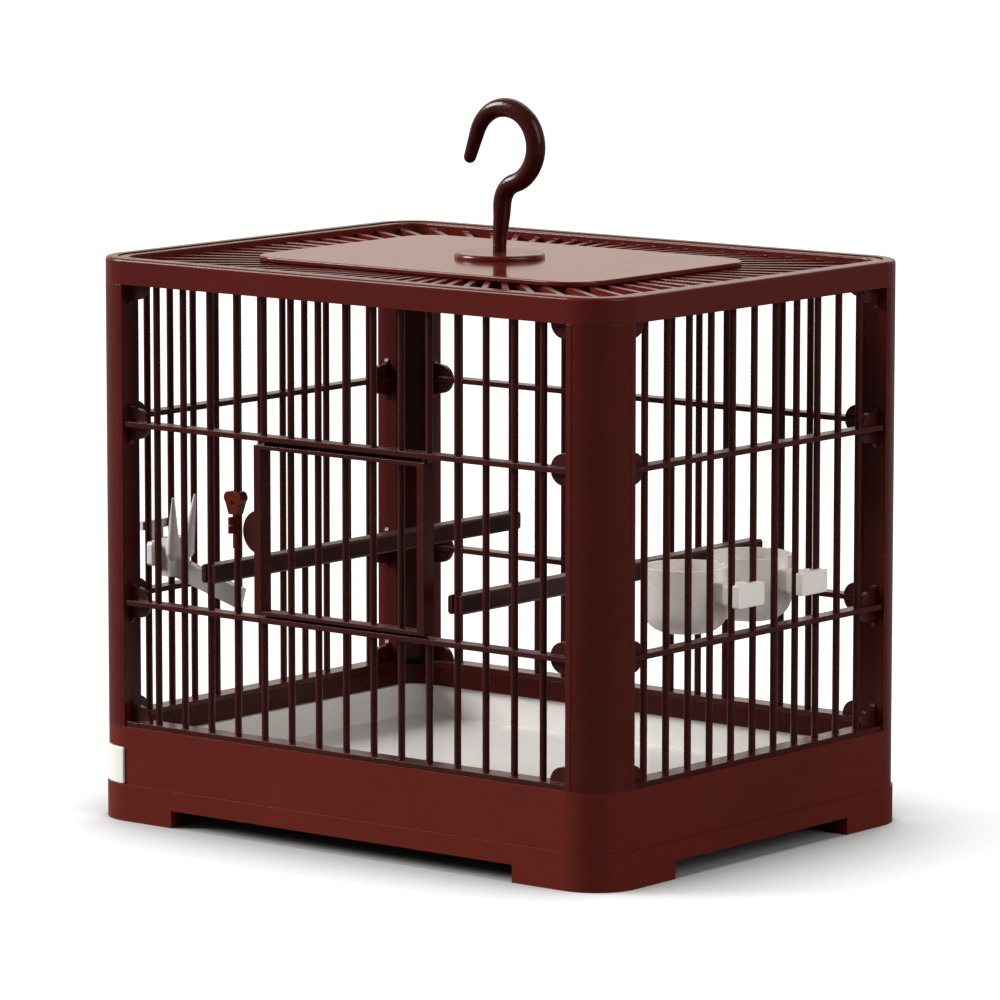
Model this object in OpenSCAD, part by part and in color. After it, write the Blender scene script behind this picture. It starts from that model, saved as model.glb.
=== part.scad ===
// Bird travel carrier: a moulded cage on a four-footed base with a pull-out tray,
// four corner posts, barred walls, a side-hung door, a slotted roof and a swivel hook.
// The front faces -Y. The origin is on the ground below the middle of the roof.

/* [Cage] */
// Width over the posts
body_w = 375; // [300:1:460]
// Depth over the posts
body_d = 288; // [235:1:350]
// Height of the roof rim above the ground
roof_top = 325; // [280:1:400]
// Radius of the cage's upright corners
corner_r = 27; // [20:1:40]

/* [Posts] */
// Width of a post along each wall
post_w = 27; // [22:1:36]
// Thickness of a post's shell
post_wall = 3; // [2:0.5:4]
// Depth of the flange that a post turns inwards beside the bars
post_flange = 14.5; // [10:0.5:18]

/* [Base] */
// Height of the feet
foot_h = 10; // [6:1:14]
// Length of a foot along each side
foot_len = 64; // [45:1:75]
// Height of the seam between the pan and the base frame
seam_z = 21.4; // [18:0.2:25]
// Height of the base frame's top
base_top = 55; // [50:1:70]
// Thickness of the base's walls
base_wall = 3; // [2:0.5:4]
// How far the pan and the tray's front stand proud of the base frame
pan_step = 1; // [0.5:0.5:2]
// Thickness of the pan's floor
floor_t = 2; // [1.5:0.5:3]

/* [Tray] */
// Height of the tray's front, up to its rim
tray_h = 21; // [16:0.5:26]
// Thickness of the tray's walls
tray_wall = 2; // [1.5:0.5:3]
// Running clearance round the tray
tray_gap = 0.4; // [0.3:0.1:1]

/* [Bars] */
// Distance between neighbouring bars
bar_pitch = 20; // [16:1:24]
// Diameter of a bar
bar_d = 4; // [3:0.5:5]
// Depth of the bars' centres behind the outer faces
bar_in = 7; // [6:0.5:9]
// Height of the lower rail's underside
rail_low_z = 125.4; // [115:0.2:140]
// Height of the upper rail's underside
rail_high_z = 228.6; // [205:0.2:245]
// Height of a rail
rail_h = 3; // [2.5:0.5:6]
// Height of the sill that the bars stand on
sill_h = 3; // [2:0.5:5]
// How far a bracket reaches from its post
bracket_reach = 14.5; // [11:0.5:18]
// Half the height of a bracket against its post
bracket_half = 12.6; // [11:0.2:18]

/* [Door] */
// Number of bar spaces from the middle to each stile
door_spaces = 3; // [2:1:4]
// Width of a stile
stile_w = 5; // [4:0.5:7]
// Height of the door's top and bottom members
door_member = 2.2; // [1.8:0.1:5]
// Radius of the finger tab on the free stile
tab_r = 12.5; // [8:0.5:14]
// Diameter of the hinge pins
hinge_d = 3; // [2:0.5:3.5]
// Radial clearance of every pin in its hole
pin_gap = 0.1; // [0.05:0.05:0.2]

/* [Perches and cups] */
// Width of a perch
perch_w = 10.6; // [8:0.2:13]
// Height of a perch
perch_h = 10.6; // [8:0.2:15]
// Height of the perches' centres
perch_z = 148.8; // [140:0.2:200]
// Outer radius of a feeding cup
cup_r = 24.2; // [18:0.2:26]
// Height of a feeding cup
cup_h = 37.4; // [30:0.2:46]
// Distance from the bars to a cup's centre
cup_reach = 39.2; // [36:0.2:46]
// Height of the cups' hangers
cup_z = 149; // [145:0.5:200]
// Height of the fruit fork's hanger
fork_z = 150; // [146:0.5:200]
// Length of a fork's spike
spike_h = 32.5; // [20:0.5:40]

/* [Roof] */
// Height of the roof frame's band
band_h = 14.8; // [12:0.2:18]
// Length of the raised roof plate
plate_w = 243; // [200:1:260]
// Depth of the raised roof plate
plate_d = 165; // [140:1:195]
// Thickness of the raised roof plate
plate_t = 2.6; // [2:0.2:5]
// Angle between neighbouring roof ribs
rib_step = 5; // [5:1:10]
// Width of a roof rib
rib_w = 3.4; // [2.5:0.1:4.5]

/* [Hook] */
// Radius of the loop to the middle of the hook's rod
loop_r = 21.8; // [18:0.2:30]
// Height of the loop's centre above the roof rim
loop_up = 63.7; // [55:0.1:80]
// Diameter of the hook's stem
stem_d = 7.8; // [6:0.2:10]
// Thickness of the rod at the top of the loop
rod_d = 11.2; // [8:0.1:13]
// Thickness of the rod at its tip
tip_d = 7.3; // [6:0.1:9]
// Radius of the boss on the roof plate
boss_r = 26; // [18:0.5:32]

/* [Hidden] */
$fn = 48;
half_w = body_w / 2;
half_d = body_d / 2;
band_z = roof_top - band_h;

// Seats and gaps
seat_gap = 0.3;     // between pieces that move on each other
panel_gap = 0.2;    // between a wall and the posts beside it

// Base
flange_in = 13;     // how far the base frame's top turns inwards
flange_t = 2.5;
slot_top = seam_z + tray_gap + tray_h + tray_gap;
front_reach = 27;   // how far the tray's front wraps round each corner
foot_w = 14;        // width of a foot's sole
pan_rib_h = 4;      // ribs under the pan's floor
pan_rib_t = 2.4;

// Tray
tray_z = seam_z + seat_gap;
tray_top = seam_z + tray_gap + tray_h;
tray_in = 8;        // distance from the outer faces to the tray's walls
tray_lip = 2;
tray_back = 10;     // distance from the right outer face to the tray's end

// Walls
open_w = half_w - post_w - panel_gap;   // half the width between the front posts
open_d = half_d - post_w - panel_gap;
bars_w = floor((open_w - bar_d) / bar_pitch);   // bars on each side of the middle
bars_d = floor((open_d - bar_d) / bar_pitch);
sill_in = 0.8;
rail_in = 1;
rail_depth = 9;
top_rail_in = 3.5;
top_rail_z = band_z + 0.8;
top_rail_h = 5;
bracket_in = bar_in - 1.5;
bracket_t = 3;
bracket_round = 8.8; // radius of a bracket's nose
bracket_hollow = 4.2;
sill_top = base_top + sill_h;

// Door
door_x = door_spaces * bar_pitch - 0.8; // centre of each stile
door_z0 = rail_low_z + rail_h + 1.7;
door_z1 = rail_high_z - 2.2;
door_depth = bar_in + bar_d / 2 - 0.2;
hinge_in = door_depth / 2;
hinge_grip = 2.2;                       // length of a hinge pin in its rail
tab_z = door_z0 + 46.1;
tab_in = 5;
tab_t = 2.4;
stop_h = 3.9;        // height of the strips that the door closes against

// Latch, round the bar beside the free stile
latch_x = -(door_spaces + 1) * bar_pitch;
sleeve_r = bar_d / 2 + 0.7;
sleeve_z0 = tab_z - 2;
collar_h = 8.5;     // height of the fixed collar below the turn button
heart_z = tab_z + 8.8;
heart_h = 13;
sleeve_h = heart_z + heart_h - 0.4 - sleeve_z0;
heart_t = 6;
heart_out = 4.4;    // how far the heart's face stands outwards of the bar's centre
heart_foot = 2.9;   // half the heart's width at its lower end
lobe_r = 3.5;
lobe_x = 2.9;
dimple_r = 1.3;
dimple_t = 0.8;
nib_reach = 6.3;    // from the bar's centre to the centre of the nib's round tip
nib_r = 1.2;
nib_z = sleeve_z0 + 0.2;
nib_h = 4.4;        // height of each half of the nib
nib_gap = 0.4;

// Perches, each on one bar of the front wall and one of the back wall
perch_left_x = -5 * bar_pitch;
perch_right_x = 4 * bar_pitch;
perch_half = half_d - bar_in + bar_d / 2;
notch_gap = 0.3;
perch_edge = 1.2;   // chamfer along a perch

// Cups and fork, each hung in the space between two bars
cup_wall = 1.8;
cup_round = 14;
cup_below = 25;     // from the hanger's axis down to a cup's underside
front_cup_y = -0.5 * bar_pitch;
back_cup_y = 2.5 * bar_pitch;
fork_y = -(bars_d - 0.5) * bar_pitch;
head_w = bar_pitch + bar_d + 0.4;
head_h = 13;
head_t = 4.1;
neck_w = 11.4;
neck_round = 7.6;
collar_w = 20;
collar_t = 3.8;
fork_collar_w = 28;
fork_collar_h = 14;
fork_bar_z = 12;    // from the fork's axis up to its crossbar
fork_bar_h = 5;
fork_block = [9.4, 17, 22];
fork_block_top = 8;
spike_r = 4.4;      // radius of a spike's round lower end
spike_y = 6.1;      // distance of each spike's foot from the fork's middle
spike_lean = 6;     // away from the wall, and away from each other
spike_tip = 0.8;
blade_w = 5.4;
blade_h = 11.4;
blade_len = 44.5;
blade_root = 13.4;  // from the collar to the middle of the blade's root
blade_drop = 10.7;  // from the fork's axis down to it
blade_dip = 16;
bar_plane = half_w - bar_in;

// Roof
rim_in = 7.4;
rim_w = 6;
rim_z0 = top_rail_z + top_rail_h;
rim_top = roof_top - 0.6;
rib_h = 5;
plate_top = roof_top - 0.5;
plate_z = plate_top - plate_t;
plate_r = 22;
support_in = 3;
support_w = 12;
support_h = 5.5;

// Hook
stem_r = stem_d / 2;
bolt_r = stem_r - 1;
boss_h = 3.2;
boss_edge = 2;
nut_h = 4.3;
nut_af = 14;
loop_x = 4.3;
loop_z = roof_top + loop_up;
bend_r = 14.5;
bend_z = loop_z - sqrt(pow(loop_r + bend_r, 2) - pow(bend_r - loop_x, 2));
bend_a = atan2(loop_z - bend_z, bend_r - loop_x);    // where the bend meets the loop
bend_d = 10.5;      // thickness of the rod where the stem begins to bend
sweep_z = plate_top + boss_h + 3;
loop_end = 160;     // where the loop runs out into its straight tip, in degrees from +x
tip_run = 19.8;
lean_x = 1.8;       // how far the stem leans over where it begins to bend
taper_run = loop_r * (loop_end - 90) * PI / 180 + tip_run - tip_d / 2;
ring_n = 20;

PLASTIC = [0.42, 0.10, 0.09];
PLASTIC_PALE = [0.62, 0.38, 0.34];
WHITE = [0.93, 0.93, 0.91];

// ---- Shapes that repeat ----

// Rectangle about the origin with round corners
module rounded_2d(w, d, r) {
    square([w - 2 * r, d], center = true);
    square([w, d - 2 * r], center = true);
    for (sx = [-1, 1], sy = [-1, 1])
        translate([sx * (w / 2 - r), sy * (d / 2 - r)]) circle(r);
}

// Outline of the cage, drawn in from the posts' outer faces
module outline_2d(inset = 0) {
    rounded_2d(body_w - 2 * inset, body_d - 2 * inset, corner_r - inset);
}

// Ring along the cage's outline, between two insets
module ring_2d(outer, inner) {
    difference() {
        outline_2d(outer);
        outline_2d(inner);
    }
}

// Carries a section round a rectangle with round corners. In the section, x runs inwards
// from the outer face and y runs up.
module frame_sweep(w, d, r) {
    for (turn = [0, 180]) rotate(turn) {
        translate([w / 2 - r, d / 2, 0]) rotate([90, 0, -90])
            linear_extrude(w - 2 * r) children();
        translate([-w / 2, d / 2 - r, 0]) rotate([90, 0, 0])
            linear_extrude(d - 2 * r) children();
        for (sx = [0, 1]) mirror([sx, 0, 0])
            translate([w / 2 - r, d / 2 - r, 0]) rotate_extrude(angle = 90)
                translate([r, 0]) mirror([1, 0]) children();
    }
}

// Flat slab with its upper edge rounded
module slab(w, d, r, t, edge) {
    linear_extrude(t - edge) rounded_2d(w, d, r);
    linear_extrude(t) rounded_2d(w - 2 * edge, d - 2 * edge, r - edge);
    frame_sweep(w, d, r) {
        intersection() {
            translate([edge, t - edge]) circle(edge);
            square([edge + 0.5, t]);
        }
    }
}

// Ogee bracket beside a post, with its nose on +x
module bracket_2d() {
    intersection() {
        translate([bracket_reach - bracket_round, 0]) circle(bracket_round);
        translate([0, -bracket_half]) square([bracket_reach + 1, 2 * bracket_half]);
    }
    for (side = [-1, 1]) difference() {
        translate([0, side > 0 ? 0 : -bracket_half]) square([bracket_hollow, bracket_half]);
        translate([bracket_hollow, side * (bracket_half + 0.4)]) circle(bracket_hollow);
    }
}

// Both end brackets of a wall at one height, clipped to the stretch z0 to z1
module bracket_pair(half, z, z0, z1) {
    for (side = [-1, 1]) intersection() {
        translate([side * half, bracket_in + bracket_t, z]) rotate([90, 0, 0])
            linear_extrude(bracket_t) mirror([side > 0 ? 1 : 0, 0]) bracket_2d();
        translate([-half, 0, z0]) cube([2 * half, 3 * bar_in, z1 - z0]);
    }
}

module bar(x, z0, z1) {
    translate([x, bar_in, z0]) cylinder(d = bar_d, h = z1 - z0);
}

module rail(half, z) {
    translate([-half, rail_in, z]) cube([2 * half, rail_depth, rail_h]);
}

// Sill, rails, top rail and brackets of one wall. y runs inwards from the outer face.
module wall_frame(half) {
    translate([-half, sill_in, base_top]) cube([2 * half, flange_in - sill_in, sill_h]);
    translate([-half, top_rail_in, top_rail_z]) cube([2 * half, rail_depth, top_rail_h]);
    rail(half, rail_low_z);
    rail(half, rail_high_z);
    bracket_pair(half, sill_top, sill_top - 1, sill_top + bracket_half);
    for (z = [rail_low_z, rail_high_z])
        bracket_pair(half, z + rail_h / 2, z - bracket_half, z + 2 * bracket_half);
    bracket_pair(half, band_z, band_z - bracket_half, top_rail_z + 1);
}

module wall(half, count) {
    wall_frame(half);
    for (k = [-count : count]) bar(k * bar_pitch, sill_top - 1, top_rail_z + 1);
}

module at_front() { translate([0, -half_d, 0]) children(); }
module at_back() { rotate(180) translate([0, -half_d, 0]) children(); }
module at_right() { translate([half_w, 0, 0]) rotate(90) children(); }
module at_left() { translate([-half_w, 0, 0]) rotate(-90) children(); }

// Post of the corner where x and y are least: a round shell with a flange at each edge
module post() {
    flange_t = post_wall + 0.5;
    translate([0, 0, base_top]) linear_extrude(band_z - base_top) {
        intersection() {
            ring_2d(0, post_wall);
            translate([-half_w, -half_d]) square(post_w);
        }
        translate([-half_w, -half_d + post_w - flange_t]) square([post_flange, flange_t]);
        translate([-half_w + post_w - flange_t, -half_d]) square([flange_t, post_flange]);
    }
}

// Hanger that grips two bars: head outside them, neck between them, collar inside them.
// The axis is x, outwards, and x = 0 is the bars' plane.
module hanger(neck_len) {
    grip = bar_d / 2 + seat_gap;
    translate([grip, 0, 0]) rotate([90, 0, 90])
        linear_extrude(head_t) rounded_2d(head_w, head_h, 1.2);
    translate([-neck_len, 0, 0]) rotate([90, 0, 90])
        linear_extrude(neck_len + grip + 1) intersection() {
            square(neck_w, center = true);
            circle(neck_round);
        }
    translate([-grip - collar_t, 0, 0]) rotate([90, 0, 90])
        linear_extrude(collar_t) rounded_2d(collar_w, head_h - 1, 2);
}

// ---- Base ----

module base_pan() {
    color(PLASTIC) {
        translate([0, 0, foot_h]) linear_extrude(seam_z - foot_h)
            ring_2d(-pan_step, base_wall);
        translate([0, 0, seam_z - floor_t]) linear_extrude(floor_t)
            outline_2d(base_wall - 0.5);
        for (sx = [-1, 1], sy = [-1, 1]) linear_extrude(foot_h + 1) intersection() {
            ring_2d(-pan_step, foot_w - pan_step);
            translate([sx * (half_w - foot_len / 2 + pan_step), sy * (half_d - foot_len / 2 + pan_step)])
                square(foot_len, center = true);
        }
        translate([0, 0, seam_z - floor_t - pan_rib_h]) linear_extrude(pan_rib_h + 0.5) {
            for (k = [-1, 0, 1]) {
                translate([k * body_w / 4, 0]) square([pan_rib_t, body_d - 2 * base_wall + 1], center = true);
                translate([0, k * body_d / 4]) square([body_w - 2 * base_wall + 1, pan_rib_t], center = true);
            }
        }
    }
}

module base_frame() {
    color(PLASTIC) difference() {
        translate([0, 0, seam_z]) frame_sweep(body_w, body_d, corner_r) {
            square([base_wall, base_top - seam_z]);
            translate([0, base_top - seam_z - flange_t]) square([flange_in, flange_t]);
            translate([flange_in - flange_t, slot_top - seam_z])
                square([flange_t, base_top - slot_top]);
        }
        translate([-half_w - 1, -half_d - 1, seam_z - 1])
            cube([front_reach + 1, body_d + 2, slot_top - seam_z + 1]);
    }
}

module tray() {
    body_x0 = -half_w + base_wall - 1;
    well_x0 = -half_w + flange_in + tray_wall;
    well_x1 = half_w - tray_back - tray_wall;
    half_y = half_d - tray_in;
    color(WHITE) {
        // Front, wrapped round both left corners of the base
        translate([0, 0, seam_z + tray_gap]) linear_extrude(tray_h) intersection() {
            ring_2d(-pan_step, base_wall);
            translate([-half_w - pan_step, -half_d - pan_step])
                square([front_reach + pan_step - tray_gap, body_d + 2 * pan_step]);
        }
        difference() {
            union() {
                translate([0, 0, tray_z]) linear_extrude(tray_top - tray_z)
                    tray_2d(body_x0, half_w - tray_back, half_y);
                translate([0, 0, tray_top - tray_lip]) linear_extrude(tray_lip)
                    tray_2d(body_x0, half_w - tray_back + tray_lip, half_y + tray_lip);
            }
            translate([0, 0, tray_z + tray_wall]) linear_extrude(tray_h)
                tray_2d(well_x0, well_x1, half_y - tray_wall);
            // Hollow behind the front, open below
            translate([body_x0 + tray_wall, -half_y + tray_wall, tray_z - 1])
                cube([well_x0 - body_x0 - 2 * tray_wall, 2 * (half_y - tray_wall),
                    tray_top - tray_z + 1 - tray_wall]);
        }
    }
}

module tray_2d(x0, x1, half_y) {
    translate([(x0 + x1) / 2, 0]) rounded_2d(x1 - x0, 2 * half_y, 14);
}

// ---- Posts and walls ----

module front_left_post() { color(PLASTIC) post(); }
module front_right_post() { color(PLASTIC) mirror([1, 0, 0]) post(); }
module back_left_post() { color(PLASTIC) mirror([0, 1, 0]) post(); }
module back_right_post() { color(PLASTIC) rotate(180) post(); }

module front_wall() {
    color(PLASTIC) at_front() difference() {
        union() {
            wall_frame(open_w);
            // Strips that the door closes against
            for (z = [rail_low_z + rail_h - 1, rail_high_z + 1 - stop_h])
                translate([-door_x - stile_w / 2, door_depth + seat_gap, z])
                    cube([2 * door_x - 1, rail_in + rail_depth - door_depth - seat_gap, stop_h]);
            for (k = [-bars_w : bars_w]) {
                if (abs(k) > door_spaces)
                    bar(k * bar_pitch, sill_top - 1, top_rail_z + 1);
                else {
                    bar(k * bar_pitch, sill_top - 1, rail_low_z + 1);
                    bar(k * bar_pitch, rail_high_z + rail_h - 1, top_rail_z + 1);
                }
            }
        }
        // Sockets for the door's hinge pins
        translate([door_x, hinge_in, rail_low_z + rail_h - hinge_grip])
            cylinder(d = hinge_d + 2 * pin_gap, h = hinge_grip + 1);
        translate([door_x, hinge_in, rail_high_z - 1])
            cylinder(d = hinge_d + 2 * pin_gap, h = hinge_grip + 1);
    }
}

module back_wall() { color(PLASTIC) at_back() wall(open_w, bars_w); }
module left_wall() { color(PLASTIC) at_left() wall(open_d, bars_d); }
module right_wall() { color(PLASTIC) at_right() wall(open_d, bars_d); }

// ---- Door and latch ----

module door() {
    outer = door_x + stile_w / 2;
    inner = door_x - stile_w / 2;
    height = door_z1 - door_z0;
    color(PLASTIC) at_front() {
        difference() {
            translate([-outer, 0, door_z0]) cube([2 * outer, door_depth, height]);
            translate([-inner, -1, door_z0 + door_member])
                cube([2 * inner, door_depth + 2, height - 2 * door_member]);
        }
        for (k = [-door_spaces + 1 : door_spaces - 1])
            translate([k * bar_pitch, bar_in - 0.2, door_z0 + 1]) cylinder(d = bar_d, h = height - 2);
        translate([door_x, hinge_in, rail_low_z + rail_h - hinge_grip + seat_gap])
            cylinder(d = hinge_d, h = door_z0 - rail_low_z - rail_h + hinge_grip);
        translate([door_x, hinge_in, door_z1 - 0.5])
            cylinder(d = hinge_d, h = rail_high_z - door_z1 + hinge_grip - seat_gap + 0.5);
        translate([-outer, tab_in + tab_t, tab_z]) rotate([90, 0, 0])
            linear_extrude(tab_t) difference() {
                circle(tab_r);
                translate([1, -tab_r - 1]) square(2 * tab_r + 2);
            }
    }
}

// Fixed collar that carries the turn button
module latch_clip() {
    color(PLASTIC) at_front() translate([latch_x, bar_in, sleeve_z0 - seat_gap - collar_h]) difference() {
        cylinder(r = sleeve_r, h = collar_h);
        translate([0, 0, -1]) cylinder(r = bar_d / 2 + pin_gap, h = collar_h + 2);
    }
}

// Turn button: a heart on a sleeve round the bar, and a nib that swings in front of the tab
module latch_button() {
    lobe_z = heart_h - lobe_r;
    color(PLASTIC) at_front() translate([latch_x, bar_in, 0]) difference() {
        union() {
            translate([0, 0, sleeve_z0]) cylinder(r = sleeve_r, h = sleeve_h);
            translate([0, heart_t - heart_out, heart_z]) rotate([90, 0, 0]) {
                for (side = [-1, 1]) translate([side * lobe_x, lobe_z, 0])
                    cylinder(r = lobe_r, h = heart_t);
                linear_extrude(heart_t) polygon([[-heart_foot, 0], [heart_foot, 0],
                    [lobe_x + lobe_r - 0.2, lobe_z], [-lobe_x - lobe_r + 0.2, lobe_z]]);
            }
            for (k = [0, 1]) translate([0, 0, nib_z + k * (nib_h + nib_gap)]) {
                translate([-nib_r, -nib_reach, 0]) cube([2 * nib_r, nib_reach, nib_h]);
                translate([0, -nib_reach, 0]) cylinder(r = nib_r, h = nib_h);
            }
        }
        translate([0, 0, sleeve_z0 - 1]) cylinder(r = bar_d / 2 + pin_gap, h = sleeve_h + 2);
        translate([0, -heart_out + dimple_t, heart_z + heart_h / 2]) rotate([90, 0, 0])
            cylinder(r = dimple_r, h = 2);
    }
}

// ---- Perches, cups and fork ----

module perch(x) {
    slot = bar_d + 2 * notch_gap;
    color(PLASTIC) translate([x, 0, perch_z]) difference() {
        rotate([90, 0, 0]) linear_extrude(2 * perch_half, center = true) polygon([
            [-perch_w / 2 + perch_edge, -perch_h / 2], [perch_w / 2 - perch_edge, -perch_h / 2],
            [perch_w / 2, -perch_h / 2 + perch_edge], [perch_w / 2, perch_h / 2 - perch_edge],
            [perch_w / 2 - perch_edge, perch_h / 2], [-perch_w / 2 + perch_edge, perch_h / 2],
            [-perch_w / 2, perch_h / 2 - perch_edge], [-perch_w / 2, -perch_h / 2 + perch_edge]]);
        // Notch for the bar at each end
        for (side = [-1, 1]) translate([0, side * (half_d - bar_in), -perch_h]) {
            cylinder(d = slot, h = 2 * perch_h);
            translate([-slot / 2, side > 0 ? 0 : -bar_in, 0]) cube([slot, bar_in, 2 * perch_h]);
        }
    }
}

module left_perch() { perch(perch_left_x); }
module right_perch() { perch(perch_right_x); }

// Half section of a round vessel with a round lower corner
module vessel_2d(r, h, round) {
    square([r - round, h]);
    translate([0, round]) square([r, h - round]);
    intersection() {
        translate([r - round, round]) circle(round);
        square([r, h]);
    }
}

module cup(y) {
    color(WHITE) {
        translate([bar_plane, y, cup_z]) {
            difference() {
                hanger(cup_reach - cup_r + cup_wall);
                translate([-cup_reach, 0, -cup_below - 1]) cylinder(r = cup_r - 0.5, h = cup_h + 2);
            }
            translate([-cup_reach, 0, -cup_below]) rotate_extrude() difference() {
                vessel_2d(cup_r, cup_h, cup_round);
                translate([0, cup_wall])
                    vessel_2d(cup_r - cup_wall, cup_h, cup_round - cup_wall);
            }
        }
    }
}

module front_cup() { cup(front_cup_y); }
module back_cup() { cup(back_cup_y); }

module fruit_fork() {
    grip = bar_d / 2 + seat_gap;
    face = -grip - collar_t;    // inner face of the collar
    color(WHITE) translate([-bar_plane, fork_y, fork_z]) mirror([1, 0, 0]) {
        // Head outside the bars: an upright with a crossbar
        translate([grip, -neck_w / 2, -neck_w / 2])
            cube([head_t, neck_w, neck_w / 2 + fork_bar_z + 1]);
        translate([grip, -head_w / 2, fork_bar_z]) cube([head_t, head_w, fork_bar_h]);
        translate([face - 1, 0, 0]) rotate([90, 0, 90])
            linear_extrude(2 * grip + collar_t + 2) intersection() {
                square(neck_w, center = true);
                circle(neck_round);
            }
        translate([face, 0, -1]) rotate([90, 0, 90])
            linear_extrude(collar_t) rounded_2d(fork_collar_w, fork_collar_h, 2);
        // Block inside the bars, with two spikes for the fruit
        translate([face - fork_block.x, -fork_block.y / 2, fork_block_top - fork_block.z])
            cube([fork_block.x + 1, fork_block.y, fork_block.z]);
        for (side = [-1, 1])
            translate([face - fork_block.x, side * spike_y, 0])
                rotate([-side * spike_lean, -spike_lean, 0]) {
                    sphere(spike_r);
                    cylinder(r1 = spike_r - 0.1, r2 = spike_tip, h = spike_h);
                    translate([0, 0, spike_h]) sphere(spike_tip);
                }
        // Landing blade, dipping towards the middle of the cage
        translate([face - blade_root, 0, -blade_drop]) rotate([0, -blade_dip, 0])
            translate([-blade_len, -blade_w / 2, -blade_h / 2])
                cube([blade_len + 8, blade_w, blade_h]);
    }
}

// ---- Roof ----

module roof_frame() {
    round_r = 2;
    wall_t = 3.2;
    color(PLASTIC) translate([0, 0, band_z]) frame_sweep(body_w, body_d, corner_r) {
        square([wall_t, band_h - round_r]);
        translate([round_r, band_h - 2.6]) square([rim_in - seat_gap - round_r, 2.6]);
        intersection() {
            translate([round_r, band_h - round_r]) circle(round_r);
            square([round_r + 0.5, band_h]);
        }
    }
}

module roof_grille() {
    edge = 1;
    support_w0 = plate_w - 2 * support_in;
    support_d0 = plate_d - 2 * support_in;
    color(PLASTIC_PALE) {
        // Rim in the roof frame
        translate([0, 0, rim_z0])
            frame_sweep(body_w - 2 * rim_in, body_d - 2 * rim_in, corner_r - rim_in) {
                square([rim_w, rim_top - rim_z0 - edge]);
                translate([edge, 0]) square([rim_w - 2 * edge, rim_top - rim_z0]);
                for (x = [edge, rim_w - edge])
                    translate([x, rim_top - rim_z0 - edge]) circle(edge);
            }
        // Ribs that fan out from the middle
        translate([0, 0, plate_z - support_h]) linear_extrude(rib_h) intersection() {
            difference() {
                outline_2d(rim_in + rim_w - 1);
                rounded_2d(support_w0 - 2, support_d0 - 2, plate_r - support_in - 1);
            }
            for (a = [0 : rib_step : 360 - rib_step])
                rotate(a) translate([0, -rib_w / 2]) square([half_w + half_d, rib_w]);
        }
        // Ledge under the plate
        translate([0, 0, plate_z - support_h]) linear_extrude(support_h) difference() {
            rounded_2d(support_w0, support_d0, plate_r - support_in);
            rounded_2d(support_w0 - 2 * support_w, support_d0 - 2 * support_w,
                plate_r - support_in - support_w);
        }
    }
}

module roof_plate() {
    color(PLASTIC_PALE) difference() {
        translate([0, 0, plate_z]) slab(plate_w, plate_d, plate_r, plate_t, 1);
        translate([0, 0, plate_z - 1]) cylinder(r = bolt_r + pin_gap, h = plate_t + 2);
    }
}

module hook_boss() {
    color(PLASTIC_PALE) translate([0, 0, plate_top]) rotate_extrude() difference() {
        union() {
            square([boss_r - boss_edge, boss_h]);
            square([boss_r, boss_h - boss_edge]);
            translate([boss_r - boss_edge, boss_h - boss_edge]) circle(boss_edge);
        }
        translate([0, -1]) square([stem_r + pin_gap, boss_h + 2]);
        translate([0, -2 * boss_edge]) square([boss_r + 1, 2 * boss_edge]);
    }
}

// ---- Hook ----

// A station of the hook is [x, z, heading, radius], with the heading in degrees from +x
function upright(x, z, heading, r) = let (t = max(0, min(2, (z - sweep_z) / (bend_z - sweep_z))))
    [x + lean_x * pow(sin(90 * t), 2), z, heading, r];
function rod_r(run) = rod_d / 2 + (tip_d - rod_d) / 2 * max(0, run) / taper_run;
stem_part = [for (i = [0 : 4]) let (t = i / 4)
    upright(0, sweep_z + (bend_z - sweep_z) * t, 90, stem_r - 0.1 + (bend_d / 2 - stem_r + 0.1) * t)];
bend_part = [for (i = [1 : 8]) let (t = i / 9, a = 180 - bend_a * t)
    upright(bend_r + bend_r * cos(a), bend_z + bend_r * sin(a), a - 90,
        bend_d / 2 + (rod_d - bend_d) / 2 * t)];
loop_part = [for (i = [0 : 32]) let (b = -bend_a + (loop_end + bend_a) * i / 32)
    upright(loop_x + loop_r * cos(b), loop_z + loop_r * sin(b), b + 90,
        rod_r(loop_r * (b - 90) * PI / 180))];
function tip_at(run, r) = [loop_x + loop_r * cos(loop_end) - run * sin(loop_end),
    loop_z + loop_r * sin(loop_end) + run * cos(loop_end), loop_end + 90, r];
tip_part = concat(
    [for (i = [1, 2]) let (run = (tip_run - tip_d / 2) * i / 3)
        tip_at(run, rod_r(taper_run - tip_run + tip_d / 2 + run))],
    [for (i = [0 : 5]) let (u = sin(i * 17.5))
        tip_at(tip_run + tip_d / 2 * (u - 1), tip_d / 2 * sqrt(1 - u * u))]);
stations = concat(stem_part, bend_part, loop_part, tip_part);

function ring(s) = [for (k = [0 : ring_n - 1]) let (c = s[3] * cos(k * 360 / ring_n))
    [s[0] - sin(s[2]) * c, s[3] * sin(k * 360 / ring_n), s[1] + cos(s[2]) * c]];

module rod() {
    last = len(stations) - 1;
    points = [for (s = stations) each ring(s)];
    sides = [for (i = [0 : last - 1], k = [0 : ring_n - 1]) let (n = (k + 1) % ring_n)
        each [[i * ring_n + k, i * ring_n + n, (i + 1) * ring_n + n],
            [i * ring_n + k, (i + 1) * ring_n + n, (i + 1) * ring_n + k]]];
    caps = [[for (k = [ring_n - 1 : -1 : 0]) k], [for (k = [0 : ring_n - 1]) last * ring_n + k]];
    polyhedron(points, concat(sides, caps));
}

module hook() {
    color(PLASTIC) {
        rod();
        translate([0, 0, plate_top + seat_gap])
            cylinder(r = stem_r, h = sweep_z + 1 - plate_top - seat_gap);
        translate([0, 0, plate_z - seat_gap - nut_h - 2])
            cylinder(r = bolt_r, h = plate_t + nut_h + 2 + 3 * seat_gap);
    }
}

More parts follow.
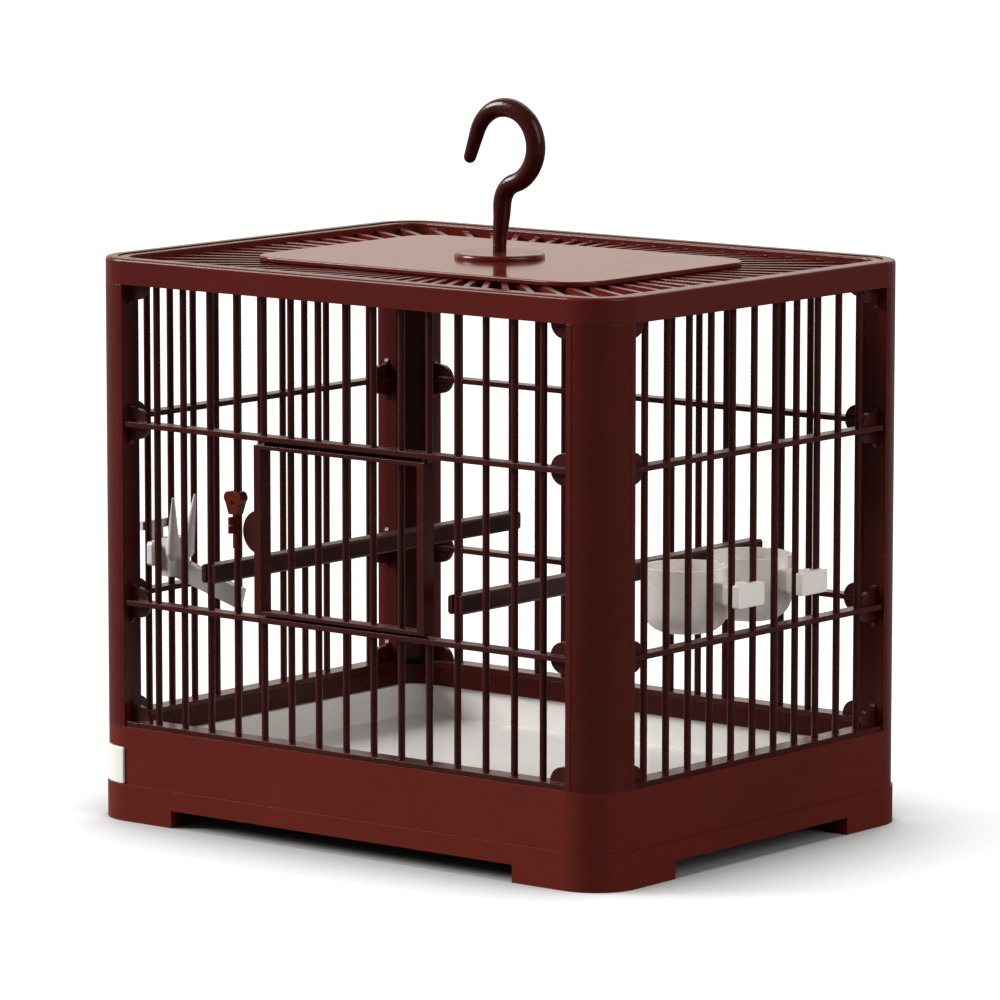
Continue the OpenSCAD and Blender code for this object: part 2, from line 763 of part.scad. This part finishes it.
module hook_nut() {
    color("silver") translate([0, 0, plate_z - seat_gap - nut_h]) difference() {
        cylinder(d = nut_af / cos(30), h = nut_h, $fn = 6);
        translate([0, 0, -1]) cylinder(r = bolt_r + pin_gap / 2, h = nut_h + 2);
    }
}

base_pan();
base_frame();
tray();
front_left_post();
front_right_post();
back_left_post();
back_right_post();
front_wall();
back_wall();
left_wall();
right_wall();
roof_frame();
roof_grille();
roof_plate();
hook_boss();
hook();
hook_nut();
door();
latch_clip();
latch_button();
left_perch();
right_perch();
front_cup();
back_cup();
fruit_fork();
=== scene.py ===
import math

import bpy
from mathutils import Matrix, Vector

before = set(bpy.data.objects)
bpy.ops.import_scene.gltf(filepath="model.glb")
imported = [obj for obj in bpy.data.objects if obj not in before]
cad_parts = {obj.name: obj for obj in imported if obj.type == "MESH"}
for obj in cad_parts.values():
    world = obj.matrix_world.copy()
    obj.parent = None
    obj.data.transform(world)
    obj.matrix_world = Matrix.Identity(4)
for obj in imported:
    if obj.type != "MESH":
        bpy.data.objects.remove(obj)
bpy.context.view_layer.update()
scene = bpy.context.scene
scene.view_settings.view_transform = "Standard"

# Lengths are in metres. The cage's outline from above is a rounded rectangle, centred on the origin
HALF_LENGTH = 0.1875
HALF_WIDTH = 0.144
CORNER = 0.027

# How deep inside that outline a material starts to show its painted inside colour, and shows nothing
# else: painted shade on the red parts, painted light on the tray
INSIDE_STARTS = -0.003
INSIDE_FULL = -0.007
# An inside colour drifts to this share of itself
INSIDE_DRIFT = 0.93


# ---- Node helpers ----

class Tree:
    """A node tree, and short ways to add nodes and links to it."""

    def __init__(self, tree):
        self.tree = tree

    def add(self, kind, **values):
        """A new node, with its properties or the constants of its inputs set by name."""
        node = self.tree.nodes.new(kind)
        for key, value in values.items():
            if hasattr(node, key):
                setattr(node, key, value)
            else:
                node.inputs[key.replace("_", " ")].default_value = value
        return node

    def link(self, output, socket):
        self.tree.links.new(output, socket)

    def feed(self, socket, value):
        """Links an output to a socket, or sets a number or a colour there."""
        if isinstance(value, bpy.types.NodeSocket):
            self.link(value, socket)
        elif isinstance(value, tuple):
            socket.default_value = (*value, 1)
        else:
            socket.default_value = value

    def math(self, operation, *values):
        node = self.add("ShaderNodeMath", operation=operation)
        for socket, value in zip(node.inputs, values):
            self.feed(socket, value)
        return node.outputs[0]

    def dot(self, vector, direction):
        node = self.add("ShaderNodeVectorMath", operation="DOT_PRODUCT")
        self.link(vector, node.inputs[0])
        node.inputs[1].default_value = direction
        return node.outputs["Value"]

    def span(self, value, low, high, start=0.3, end=0.7, curve="LINEAR"):
        """Maps start to end onto low to high."""
        node = self.add("ShaderNodeMapRange", interpolation_type=curve)
        self.link(value, node.inputs["Value"])
        self.feed(node.inputs["From Min"], start)
        self.feed(node.inputs["From Max"], end)
        self.feed(node.inputs["To Min"], low)
        self.feed(node.inputs["To Max"], high)
        return node.outputs["Result"]

    def mix(self, factor, a, b):
        """Colour a where the factor is 0, and colour b where it is 1."""
        node = self.add("ShaderNodeMix", data_type="RGBA")
        self.link(factor, node.inputs["Factor"])
        self.feed(node.inputs[6], a)
        self.feed(node.inputs[7], b)
        return node.outputs[2]


class Material(Tree):
    """A new material with its shader."""

    def __init__(self, name):
        self.material = bpy.data.materials.new(name)
        self.material.use_nodes = True
        super().__init__(self.material.node_tree)
        self.shader = self.tree.nodes["Principled BSDF"]
        self.surface = self.tree.nodes["Material Output"].inputs["Surface"]

    def set(self, **values):
        """Constants of the shader's inputs."""
        for key, value in values.items():
            self.shader.inputs[key.replace("_", " ")].default_value = value

    def place(self):
        """Object coordinates, which are the frame's own for every node."""
        return self.add("ShaderNodeTexCoord").outputs["Object"]

    def noise(self, scale, detail=3.0, rough=0.55, stretch=None):
        node = self.add("ShaderNodeTexNoise", Scale=scale, Detail=detail, Roughness=rough)
        where = self.place()
        if stretch:
            mapping = self.add("ShaderNodeMapping", Scale=stretch)
            self.link(where, mapping.inputs["Vector"])
            where = mapping.outputs["Vector"]
        self.link(where, node.inputs["Vector"])
        return node.outputs["Fac"]

    def bump(self, height, strength, distance, normal=None):
        node = self.add("ShaderNodeBump", Strength=strength, Distance=distance)
        self.link(height, node.inputs["Height"])
        if normal is not None:
            self.link(normal, node.inputs["Normal"])
        return node.outputs["Normal"]


# ---- Materials ----

def srgb(r, g, b):
    """Linear colour of an sRGB colour in 0 to 255."""
    return tuple(c / 255 / 12.92 if c <= 10 else ((c / 255 + 0.055) / 1.055) ** 2.4 for c in (r, g, b))


def depth_inside(m):
    """How far a point lies inside the cage's rounded outline, as a negative length."""
    at = m.add("ShaderNodeSeparateXYZ")
    m.link(m.place(), at.inputs[0])
    past = []
    for axis, half in (("X", HALF_LENGTH), ("Y", HALF_WIDTH)):
        size = m.math("ABSOLUTE", at.outputs[axis])
        past.append(m.math("SUBTRACT", size, half - CORNER))
    squares = [m.math("POWER", m.math("MAXIMUM", p, 0.0), 2.0) for p in past]
    round_part = m.math("SQRT", m.math("ADD", *squares))
    flat_part = m.math("MINIMUM", m.math("MAXIMUM", *past), 0.0)
    return m.math("SUBTRACT", m.math("ADD", round_part, flat_part), CORNER)


def moulded(name, light, dark, rough=0.24, uneven=0.05, edge=0.0005, specular=0.15, wave=0.0002,
            grain=0.00004, painted_inside_colour=None):
    """Moulded plastic: a colour that drifts from light to dark, uneven gloss, and rounded edges.

    Edge is the radius of the edges, and wave and grain are the heights of the slow and the fine bump.
    Faces inside the cage's outline may take a painted inside colour: painted shade where it is darker
    than the rest, painted light where it is lighter.
    """
    m = Material(name)
    drift = m.noise(scale=9, detail=4)
    cloud = m.noise(scale=60)
    color = m.mix(m.span(drift, 0, 1), light, dark)
    # Painted shade: faces inside the cage's outline take the darker inside colour; on the tray the inside
    # colour is lighter, which is painted light
    if painted_inside_colour:
        painted_inside_drift = tuple(INSIDE_DRIFT * c for c in painted_inside_colour)
        painted_inside_tone = m.mix(m.span(drift, 0, 1), painted_inside_colour, painted_inside_drift)
        painted_inside_share = m.span(depth_inside(m), 1, 0, start=INSIDE_FULL, end=INSIDE_STARTS)
        color = m.mix(painted_inside_share, color, painted_inside_tone)
    m.link(color, m.shader.inputs["Base Color"])
    m.link(m.span(cloud, rough - uneven, rough + uneven), m.shader.inputs["Roughness"])
    m.set(IOR=1.5, Specular_IOR_Level=specular)
    normal = m.add("ShaderNodeBevel", samples=6, Radius=edge).outputs["Normal"]
    normal = m.bump(m.noise(scale=20, detail=1), 0.3, wave, normal)
    if grain:
        normal = m.bump(m.noise(scale=2200, detail=2, rough=0.6), 0.12, grain, normal)
    m.link(normal, m.shader.inputs["Normal"])
    return m


def steel(name):
    """Plated steel with fine scratches round its upright axis."""
    m = Material(name)
    scratch = m.noise(scale=300, stretch=(1, 1, 14))
    color = m.mix(m.span(scratch, 0, 1), (0.62, 0.62, 0.63), (0.5, 0.5, 0.51))
    m.link(color, m.shader.inputs["Base Color"])
    m.link(m.span(scratch, 0.22, 0.38), m.shader.inputs["Roughness"])
    m.set(Metallic=1.0)
    m.link(m.bump(scratch, 0.1, 0.00005), m.shader.inputs["Normal"])
    return m


cup_white = moulded("cup_white", srgb(245, 240, 235), srgb(240, 235, 230), rough=0.26, specular=0.35,
                    grain=0)
cup_white.set(Subsurface_Weight=0.25, Subsurface_Scale=0.004)

# Each material, and the nodes that it is on
# The darker inside colours of the shell, posts and band are painted shade
LOOKS = (
    (moulded("shell_red", srgb(96, 35, 28), srgb(89, 32, 25), rough=0.28, edge=0.0003, specular=0.08,
             painted_inside_colour=srgb(58, 16, 13)),
     ("base_pan", "base_frame")),
    (moulded("posts_red", srgb(80, 25, 19), srgb(73, 22, 17), painted_inside_colour=srgb(60, 15, 11)),
     ("front_left_post", "front_right_post", "back_left_post", "back_right_post")),
    (moulded("bars_red", srgb(62, 17, 13), srgb(53, 14, 10), rough=0.28, edge=0.0004, specular=0.22),
     ("front_wall", "back_wall", "left_wall", "right_wall", "door")),
    (moulded("band_red", srgb(87, 27, 22), srgb(80, 24, 20), rough=0.22, painted_inside_colour=srgb(58, 16, 13)),
     ("roof_frame",)),
    (moulded("roof_red", srgb(86, 26, 19), srgb(79, 23, 17), rough=0.2, specular=0.28),
     ("roof_grille", "hook_boss")),
    (moulded("plate_red", srgb(91, 29, 22), srgb(86, 27, 20), rough=0.13, uneven=0.012, specular=0.25,
             wave=0.00001),
     ("roof_plate",)),
    (moulded("hook_red", srgb(58, 15, 12), srgb(50, 13, 10), rough=0.22, edge=0.0003, specular=0.2),
     ("hook",)),
    (moulded("latch_red", srgb(92, 27, 18), srgb(82, 23, 15), rough=0.26, edge=0.0004),
     ("latch_clip", "latch_button")),
    (moulded("perch_red", srgb(50, 15, 11), srgb(42, 12, 9), rough=0.34, specular=0.2),
     ("left_perch", "right_perch")),
    (cup_white,
     ("front_cup", "back_cup")),
    (moulded("fork_white", srgb(224, 220, 216), srgb(218, 214, 210), rough=0.26, specular=0.3, grain=0),
     ("fruit_fork",)),
    # The tray's lighter inside colour is painted light
    (moulded("tray_white", srgb(226, 224, 220), srgb(222, 220, 216), rough=0.34, uneven=0.01, edge=0.0015,
             specular=0.35, wave=0.000005, grain=0, painted_inside_colour=srgb(239, 236, 233)),
     ("tray",)),
    (steel("nut_steel"),
     ("hook_nut",)),
)
for look, names in LOOKS:
    for name in names:
        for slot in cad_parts[name].material_slots:
            slot.material = look.material

# ---- Floor ----

# The camera sees a bright floor that darkens where the cage hides what lies within SHADE_REACH, with
# the lamps' shadows on top. All other rays see a plain grey floor
FLOOR_SIZE = 12
SHADE_REACH = 0.22

bpy.ops.mesh.primitive_plane_add(size=FLOOR_SIZE, location=(0, 0, 0))
floor = bpy.context.object
floor.name = "floor"
ground = Material("floor_pale")
ground.set(Roughness=0.9, Specular_IOR_Level=0.0)
grey = ground.mix(ground.noise(scale=3), (0.2, 0.2, 0.2), (0.18, 0.18, 0.18))
ground.link(grey, ground.shader.inputs["Base Color"])
open_share = ground.add("ShaderNodeAmbientOcclusion", samples=24, Distance=SHADE_REACH).outputs["AO"]
glow = ground.add("ShaderNodeEmission")
ground.link(ground.span(open_share, 0, 0.85, start=0.42, end=0.9), glow.inputs["Strength"])
pale = ground.add("ShaderNodeBsdfDiffuse", Color=(0.3, 0.3, 0.3, 1))
bright = ground.add("ShaderNodeAddShader")
ground.link(glow.outputs[0], bright.inputs[0])
ground.link(pale.outputs[0], bright.inputs[1])
seen = ground.add("ShaderNodeMixShader")
ground.link(ground.add("ShaderNodeLightPath").outputs["Is Camera Ray"], seen.inputs[0])
ground.link(ground.shader.outputs[0], seen.inputs[1])
ground.link(bright.outputs[0], seen.inputs[2])
ground.link(seen.outputs[0], ground.surface)
floor.data.materials.append(ground.material)

# ---- World ----

# The camera sees white all round. Gloss sees a white sweep behind the object and a dim ceiling, and
# everything else sees an even dim studio
STUDIO = 0.26
BEHIND = (-0.624, 0.781, 0)
UP = (0, 0, 1)

world = bpy.data.worlds.new("studio")
scene.world = world
world.use_nodes = True
air = Tree(world.node_tree)
background = air.tree.nodes["Background"]
path = air.add("ShaderNodeLightPath").outputs
ray = air.add("ShaderNodeTexCoord").outputs["Generated"]
behind = air.dot(ray, BEHIND)
overhead = air.dot(ray, UP)
sweep = air.span(behind, 0.14, 0.85, start=0.1, end=0.8, curve="SMOOTHSTEP")
low = air.span(overhead, 1.0, 0.25, start=0.35, end=0.75, curve="SMOOTHSTEP")
ceiling = air.span(overhead, 0.0, 0.3, start=0.3, end=1.0)
gloss = air.math("MAXIMUM", air.math("MULTIPLY", sweep, low), ceiling)
clear = air.math("MAXIMUM", path["Is Camera Ray"], path["Is Transmission Ray"])
level = air.span(path["Is Glossy Ray"], STUDIO, gloss, start=0.0, end=1.0)
level = air.span(clear, level, 1.0, start=0.0, end=1.0)
air.link(level, background.inputs["Strength"])
tint = air.mix(path["Is Glossy Ray"], (1, 0.96, 0.93), (1, 0.83, 0.72))
tint = air.mix(clear, tint, (1, 1, 1))
air.link(tint, background.inputs["Color"])


# ---- Lamps ----

def soft_sun(name, azimuth, elevation, angle, power, color):
    """A broad far light. The angles are in degrees, and the azimuth runs anticlockwise from +X."""
    data = bpy.data.lights.new(name, "SUN")
    data.angle = math.radians(angle)
    data.energy = power
    data.color = color
    lamp = bpy.data.objects.new(name, data)
    scene.collection.objects.link(lamp)
    az, el = math.radians(azimuth), math.radians(elevation)
    towards = Vector((math.cos(az) * math.cos(el), math.sin(az) * math.cos(el), math.sin(el)))
    lamp.rotation_mode = "QUATERNION"
    lamp.rotation_quaternion = towards.to_track_quat("Z", "Y")


soft_sun("key", azimuth=-149, elevation=28, angle=28, power=5.1, color=(1, 0.985, 0.97))
soft_sun("right_fill", azimuth=4, elevation=30, angle=45, power=1.45, color=(1, 0.98, 0.96))
soft_sun("back_fill", azimuth=118, elevation=40, angle=50, power=0.8, color=(1, 0.98, 0.96))

# ---- Camera, fitted to the photograph ----

# Turned by yaw from the front towards the right side, raised by pitch, and tilted by roll, in degrees
YAW, PITCH, ROLL = 38.598, 8.033, 0.0356
# The eye stands off this point by so much to the right, upwards and back, in the camera's own axes
AIM = Vector((0, 0, 0.165))
EYE_RIGHT, EYE_UP, EYE_BACK = 0.0002856, 0.019604, 3.642946
SENSOR_MM = 36
LENS_MM = 228.47

yaw, pitch, roll = (math.radians(a) for a in (YAW, PITCH, ROLL))
back = Vector((math.sin(yaw) * math.cos(pitch), -math.cos(yaw) * math.cos(pitch), math.sin(pitch)))
side = Vector((0, 0, 1)).cross(back).normalized()
up = back.cross(side)
right = math.cos(roll) * side + math.sin(roll) * up
above = -math.sin(roll) * side + math.cos(roll) * up
eye = AIM + EYE_RIGHT * right + EYE_UP * above + EYE_BACK * back
camera = bpy.data.objects.new("camera", bpy.data.cameras.new("camera"))
scene.collection.objects.link(camera)
camera.data.sensor_width = SENSOR_MM
camera.data.lens = LENS_MM
camera.data.clip_start, camera.data.clip_end = 0.1, 50
camera.matrix_world = Matrix((
    (right.x, above.x, back.x, eye.x),
    (right.y, above.y, back.y, eye.y),
    (right.z, above.z, back.z, eye.z),
    (0, 0, 0, 1)))
scene.camera = camera
